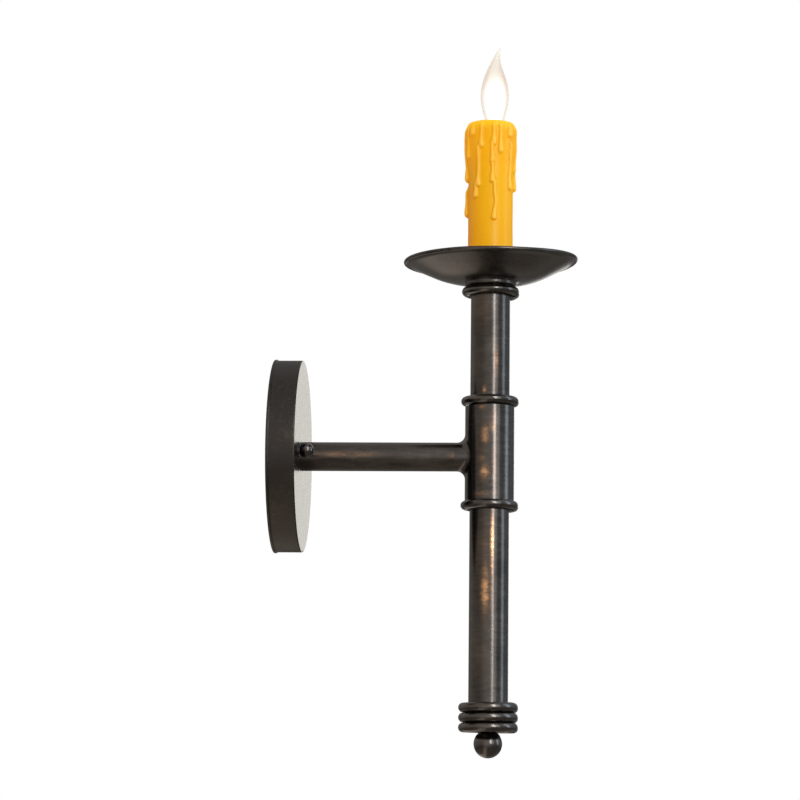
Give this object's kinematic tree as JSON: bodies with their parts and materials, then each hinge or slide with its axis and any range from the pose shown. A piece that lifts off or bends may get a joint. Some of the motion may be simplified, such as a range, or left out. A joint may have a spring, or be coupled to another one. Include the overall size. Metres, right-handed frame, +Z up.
{
  "type": "torch sconce",
  "caption": "Wall sconce: round canopy, short arm, upright torch stem with bent rod rings, drip pan, wax candle cover and flame-tip bulb.",
  "frame": {"origin": "on the wall plane, level with the arm axis and midway between the box slots of the mounting strap", "axes": "+Z up along the stem; +Y into the wall, so the arm and stem project towards -Y; +X to the right when facing the wall"},
  "size_m": [0.1248, 0.1945, 0.461],
  "materials": {
    "bronze": "dark oil-rubbed bronze, satin lacquer, worn to copper on proud places",
    "zinc_steel": "zinc-plated steel, satin",
    "earth_green": "green dyed zinc",
    "brass": "bright pressed brass",
    "nickel": "thin nickel-plated cap metal",
    "solder": "soft solder",
    "wax": "translucent honey-coloured wax",
    "phenolic": "moulded black phenolic",
    "clear_glass": "clear thin glass",
    "black_glass": "black glass insulator",
    "filament": "glowing coiled wire"
  },
  "bodies": {
    "fixture": {"canopy": "bronze", "arm_tube": "bronze", "tee_sleeve": "bronze", "stem_tube": "bronze", "stem_cap": "bronze", "base_plug": "bronze", "tee_ring_upper": "bronze", "tee_ring_lower": "bronze", "collar_ring": "bronze", "base_ring_1": "bronze", "base_ring_2": "bronze", "base_ring_3": "bronze", "drip_pan": "bronze", "mounting_strap": "zinc_steel", "canopy_studs": "zinc_steel", "stud_locknuts": "zinc_steel", "arm_nipple": "zinc_steel", "arm_lockwasher": "zinc_steel", "arm_locknut": "zinc_steel", "arm_end_plug": "zinc_steel", "finial_stud": "zinc_steel", "pan_nipple": "zinc_steel", "pan_washer": "zinc_steel", "pan_locknut": "zinc_steel", "socket_bracket": "zinc_steel", "socket_rivets": "zinc_steel", "ground_screw": "earth_green", "socket_body": "phenolic", "socket_screw_shell": "brass", "socket_contact": "brass"},
    "candle": {"candle_cover": "wax"},
    "bulb_contact": {"bulb_contact": "solder"},
    "bulb": {"bulb_glass": "clear_glass", "bulb_base_shell": "nickel", "bulb_base_insulator": "black_glass", "bulb_mount": "clear_glass", "bulb_lead_wires": "nickel", "bulb_filament": "filament"},
    "nut_washer_left": {"nut_washer_left": "bronze"},
    "ball_nut_left": {"ball_nut_left": "bronze"},
    "nut_washer_right": {"nut_washer_right": "bronze"},
    "ball_nut_right": {"ball_nut_right": "bronze"},
    "finial_washer": {"finial_washer": "bronze"},
    "finial_ball": {"finial_ball": "bronze"}
  },
  "joints": [
    {"name": "cover_lift", "type": "slide", "parent": "fixture", "child": "candle", "axis": [0, 0, 1], "range_m": [0, 0.165]},
    {"name": "bulb_travel", "type": "slide", "parent": "fixture", "child": "bulb_contact", "axis": [0, 0, 1], "range_m": [0, 0.0102]},
    {"name": "bulb_turn", "type": "hinge", "parent": "bulb_contact", "child": "bulb", "pos_m": [0, -0.1402, 0.19], "axis": [0, 0, 1], "range_deg": [0, 1440]},
    {"name": "nut_left_travel", "type": "slide", "parent": "fixture", "child": "nut_washer_left", "axis": [0, -1, 0], "range_m": [0, 0.0064]},
    {"name": "nut_left_turn", "type": "hinge", "parent": "nut_washer_left", "child": "ball_nut_left", "pos_m": [-0.03492, -0.023, 0], "axis": [0, -1, 0], "range_deg": [0, 2880]},
    {"name": "nut_right_travel", "type": "slide", "parent": "fixture", "child": "nut_washer_right", "axis": [0, -1, 0], "range_m": [0, 0.0064]},
    {"name": "nut_right_turn", "type": "hinge", "parent": "nut_washer_right", "child": "ball_nut_right", "pos_m": [0.03492, -0.023, 0], "axis": [0, -1, 0], "range_deg": [0, 2880]},
    {"name": "finial_travel", "type": "slide", "parent": "fixture", "child": "finial_washer", "axis": [0, 0, -1], "range_m": [0, 0.0076]},
    {"name": "finial_turn", "type": "hinge", "parent": "finial_washer", "child": "finial_ball", "pos_m": [0, -0.1382, -0.182], "axis": [0, 0, -1], "range_deg": [0, 2880]}
  ],
  "couplings": [
    {"joint": "bulb_travel", "follows": "bulb_turn", "m_per_rad": 0.00040425},
    {"joint": "nut_left_travel", "follows": "nut_left_turn", "m_per_rad": 0.00012633},
    {"joint": "nut_right_travel", "follows": "nut_right_turn", "m_per_rad": 0.00012633},
    {"joint": "finial_travel", "follows": "finial_turn", "m_per_rad": 0.00014972}
  ]
}
